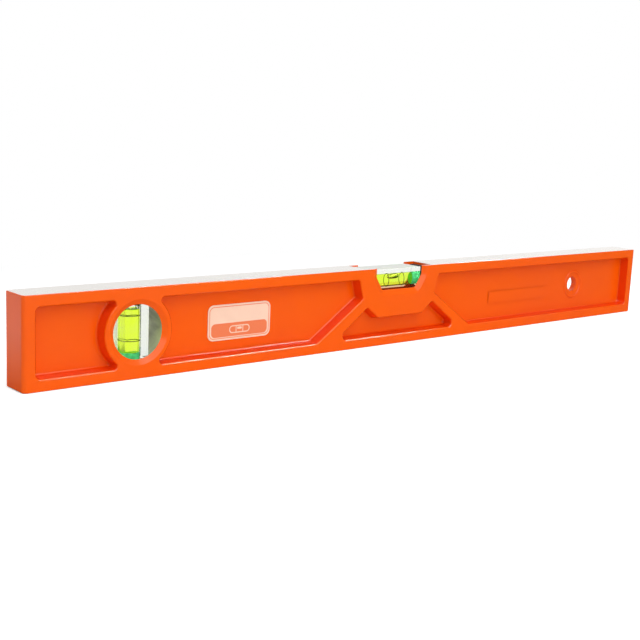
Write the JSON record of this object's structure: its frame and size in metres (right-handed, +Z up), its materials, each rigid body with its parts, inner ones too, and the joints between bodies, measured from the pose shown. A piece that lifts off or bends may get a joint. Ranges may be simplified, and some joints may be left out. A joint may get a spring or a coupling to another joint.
{
  "type": "magnetic spirit level",
  "caption": "Cast beam spirit level with recessed web panels, a level vial in a top notch, a plumb vial in a round window, a hang hole and magnets in the milled base.",
  "frame": {"origin": "middle of the milled base face, where the level rests", "axes": "+X along the beam, from the end with the plumb vial to the end with the hang hole; +Y from the labelled face to the rear face; +Z up"},
  "size_m": [0.6, 0.024, 0.0572],
  "materials": {
    "painted_casting": "glossy orange paint on cast aluminium, top and base milled bare",
    "clear_acrylic": "clear, polished",
    "vial_liquid": "yellow-green liquid",
    "green_plug": "gloss green",
    "black_ring": "matte black",
    "dark_pad": "matte black",
    "label_print": "printed, semi-gloss",
    "magnet_nickel": "nickel plated"
  },
  "bodies": {
    "root": {"frame": "painted_casting", "level_block": "clear_acrylic", "level_liquid": "vial_liquid", "level_plug": "green_plug", "level_ring_left": "black_ring", "level_ring_right": "black_ring", "level_pad_left": "dark_pad", "level_pad_right": "dark_pad", "plumb_block": "clear_acrylic", "plumb_liquid": "vial_liquid", "plumb_plug": "green_plug", "plumb_ring_upper": "black_ring", "plumb_ring_lower": "black_ring", "plumb_pad_upper": "dark_pad", "plumb_pad_lower": "dark_pad", "label_plate": "label_print", "magnet_1": "magnet_nickel", "magnet_2": "magnet_nickel", "magnet_3": "magnet_nickel", "magnet_4": "magnet_nickel"}
  },
  "joints": []
}
